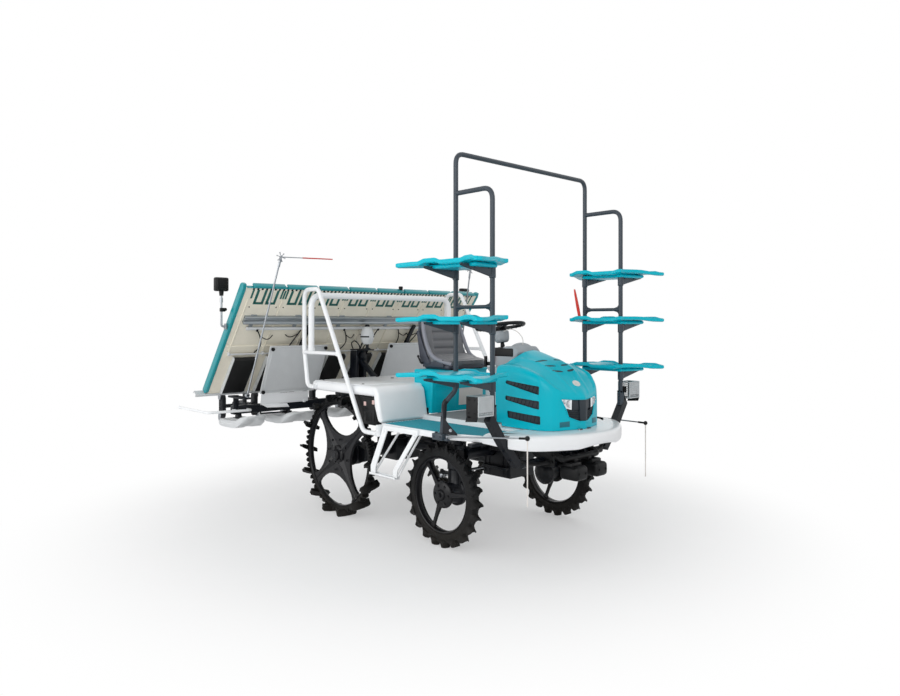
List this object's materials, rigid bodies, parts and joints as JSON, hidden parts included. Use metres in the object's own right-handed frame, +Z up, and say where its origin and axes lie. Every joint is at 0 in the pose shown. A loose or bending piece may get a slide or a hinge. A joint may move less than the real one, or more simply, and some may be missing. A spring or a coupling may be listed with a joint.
{
  "type": "rice transplanter",
  "caption": "Riding rice transplanter with lugged wheels, seedling rack, tilting hood and a raised planting unit on lift links behind the seat.",
  "frame": {"origin": "on the ground under the middle of the machine's outline", "axes": "+X forward, +Y to the driver's left, +Z up"},
  "size_m": [3.354, 2.76, 2.606],
  "materials": {
    "turquoise_abs": "glossy moulded panel",
    "white_abs": "glossy moulded panel",
    "white_tube": "white enamelled tube",
    "rack_paint": "dark blue-grey enamelled tube",
    "chassis_paint": "blue-black chassis enamel",
    "engine_iron": "plain cast block",
    "tyre_rubber": "moulded rubber with lugs",
    "wheel_paint": "black enamelled wheel",
    "floor_rubber": "grey ribbed mat",
    "dash_abs": "grained grey moulding",
    "seat_vinyl": "grey vinyl over foam",
    "black_moulding": "black moulding",
    "lamp_lens": "clear lens over a bright reflector",
    "hydraulic_steel": "hard chromed rod",
    "cylinder_paint": "black enamel",
    "platform_ivory": "ivory moulded lanes",
    "platform_teal": "dark teal enamel",
    "extruded_aluminium": "extruded aluminium",
    "belt_rubber": "black ribbed belt",
    "light_grey_abs": "light grey moulding",
    "marker_steel": "thin bright rod"
  },
  "bodies": {
    "chassis": {"chassis_frame": "chassis_paint", "engine_block": "engine_iron", "transmission_case": "chassis_paint", "front_axle_beam": "chassis_paint", "rear_axle_case": "chassis_paint", "front_bumper": "chassis_paint", "floor_panel": "floor_rubber", "side_steps": "white_abs", "front_skirt": "white_abs", "rear_deck": "white_abs", "seat_box": "turquoise_abs", "dash_cowl": "dash_abs", "battery_boxes": "black_moulding", "seat_pan": "black_moulding", "seat_cushion": "seat_vinyl", "seat_backrest": "seat_vinyl", "rack_frame": "rack_paint", "rack_shelves": "turquoise_abs", "rack_baskets": "black_moulding", "handrails": "white_tube", "boarding_ladders": "white_tube"},
    "hood": {"hood_shell": "turquoise_abs", "hood_grille": "black_moulding", "headlamps": "lamp_lens"},
    "right_knuckle": {"knuckle_right": "chassis_paint"},
    "left_knuckle": {"knuckle_left": "chassis_paint"},
    "steering_link": {"tie_rod": "chassis_paint"},
    "steering_column": {"steering_wheel": "black_moulding"},
    "front_right_wheel": {"front_tyre_right": "tyre_rubber", "front_wheel_right": "wheel_paint"},
    "front_left_wheel": {"front_tyre_left": "tyre_rubber", "front_wheel_left": "wheel_paint"},
    "rear_right_wheel": {"rear_tyre_right": "tyre_rubber", "rear_wheel_right": "wheel_paint"},
    "rear_left_wheel": {"rear_tyre_left": "tyre_rubber", "rear_wheel_left": "wheel_paint"},
    "lift_arms": {"lower_links": "chassis_paint"},
    "top_link": {"upper_link": "chassis_paint"},
    "lift_barrel": {"lift_cylinder": "cylinder_paint"},
    "lift_rod": {"lift_piston": "hydraulic_steel"},
    "hitch_bracket": {"hitch": "chassis_paint", "hitch_cap": "light_grey_abs"},
    "planting_frame": {"planting_beam": "chassis_paint", "planting_cases": "chassis_paint", "splash_panels": "light_grey_abs", "side_guards": "extruded_aluminium", "floats": "light_grey_abs"},
    "seedling_platform": {"seedling_board": "platform_ivory", "lane_dividers": "platform_ivory", "platform_frames": "platform_teal", "platform_rail": "extruded_aluminium", "feed_belts": "belt_rubber", "rear_lamps": "black_moulding"},
    "rotor_line": {"planting_rotors": "chassis_paint"},
    "left_marker": {"line_marker_left": "marker_steel"},
    "right_marker": {"line_marker_right": "marker_steel"},
    "left_sight": {"sight_rod_left": "marker_steel"},
    "right_sight": {"sight_rod_right": "marker_steel"}
  },
  "joints": [
    {"name": "steer", "type": "hinge", "parent": "chassis", "child": "right_knuckle", "pos_m": [0.793, -0.48, 0.55], "axis": [0, 0, 1], "range_deg": [-40, 40]},
    {"name": "steer_left", "type": "hinge", "parent": "chassis", "child": "left_knuckle", "pos_m": [0.793, 0.48, 0.55], "axis": [0, 0, 1], "range_deg": [-42, 42]},
    {"name": "tie_rod_swing", "type": "hinge", "parent": "right_knuckle", "child": "steering_link", "pos_m": [0.653, -0.48, 0.44], "axis": [0, 0, 1], "range_deg": [-42, 42]},
    {"name": "steering_wheel_turn", "type": "hinge", "parent": "chassis", "child": "steering_column", "pos_m": [0.763, 0, 1.476], "axis": [-0.1564, 0, 0.9877], "range_deg": [-490, 490]},
    {"name": "front_right_roll", "type": "hinge", "parent": "right_knuckle", "child": "front_right_wheel", "pos_m": [0.793, -0.6, 0.34786], "axis": [0, 1, 0], "continuous": true},
    {"name": "front_left_roll", "type": "hinge", "parent": "left_knuckle", "child": "front_left_wheel", "pos_m": [0.793, 0.6, 0.34786], "axis": [0, 1, 0], "continuous": true},
    {"name": "rear_right_roll", "type": "hinge", "parent": "chassis", "child": "rear_right_wheel", "pos_m": [-0.387, -0.62, 0.46532], "axis": [0, 1, 0], "continuous": true},
    {"name": "rear_left_roll", "type": "hinge", "parent": "chassis", "child": "rear_left_wheel", "pos_m": [-0.387, 0.62, 0.46532], "axis": [0, 1, 0], "continuous": true},
    {"name": "hood_tilt", "type": "hinge", "parent": "chassis", "child": "hood", "pos_m": [1.515, 0, 0.806], "axis": [0, 1, 0], "range_deg": [0, 50]},
    {"name": "lift", "type": "hinge", "parent": "chassis", "child": "lift_arms", "pos_m": [-0.457, 0, 0.6], "axis": [0, 1, 0], "range_deg": [-55, 0]},
    {"name": "top_link_swing", "type": "hinge", "parent": "chassis", "child": "top_link", "pos_m": [-0.447, 0, 0.82], "axis": [0, 1, 0], "range_deg": [-56, 1]},
    {"name": "hitch_level", "type": "hinge", "parent": "lift_arms", "child": "hitch_bracket", "pos_m": [-0.96487, 0, 0.95562], "axis": [0, 1, 0], "range_deg": [-1, 56]},
    {"name": "cylinder_swing", "type": "hinge", "parent": "chassis", "child": "lift_barrel", "pos_m": [0.033, 0, 0.712], "axis": [0, 1, 0], "range_deg": [-3, 3]},
    {"name": "cylinder_stroke", "type": "slide", "parent": "lift_barrel", "child": "lift_rod", "axis": [-0.9999, 0, 0.0134], "range_m": [0, 0.125]},
    {"name": "planting_roll", "type": "hinge", "parent": "hitch_bracket", "child": "planting_frame", "pos_m": [-1.057, 0, 0.96], "axis": [1, 0, 0], "range_deg": [-4, 4]},
    {"name": "platform_slide", "type": "slide", "parent": "planting_frame", "child": "seedling_platform", "axis": [0, 1, 0], "range_m": [-0.14, 0.14]},
    {"name": "planting_turn", "type": "hinge", "parent": "planting_frame", "child": "rotor_line", "pos_m": [-1.507, 0, 0.785], "axis": [0, 1, 0], "continuous": true},
    {"name": "left_marker_fold", "type": "hinge", "parent": "planting_frame", "child": "left_marker", "pos_m": [-0.893, 1.15, 0.93], "axis": [-1, 0, 0], "range_deg": [0, 95]},
    {"name": "right_marker_fold", "type": "hinge", "parent": "planting_frame", "child": "right_marker", "pos_m": [-0.893, -1.15, 0.93], "axis": [1, 0, 0], "range_deg": [0, 95]},
    {"name": "left_sight_swing", "type": "hinge", "parent": "chassis", "child": "left_sight", "pos_m": [0.999, 0.758, 0.764], "axis": [0, 0, 1], "range_deg": [0, 90]},
    {"name": "right_sight_swing", "type": "hinge", "parent": "chassis", "child": "right_sight", "pos_m": [0.999, -0.758, 0.764], "axis": [0, 0, -1], "range_deg": [0, 90]}
  ],
  "couplings": [
    {"joint": "steer_left", "follows": "steer", "ratio": 1},
    {"joint": "tie_rod_swing", "follows": "steer", "ratio": -1},
    {"joint": "steering_wheel_turn", "follows": "steer", "ratio": 12},
    {"joint": "top_link_swing", "follows": "lift", "ratio": 1},
    {"joint": "hitch_level", "follows": "lift", "ratio": -1},
    {"joint": "cylinder_swing", "follows": "lift", "ratio": 0.01284},
    {"joint": "cylinder_stroke", "follows": "lift", "m_per_rad": -0.12491}
  ]
}
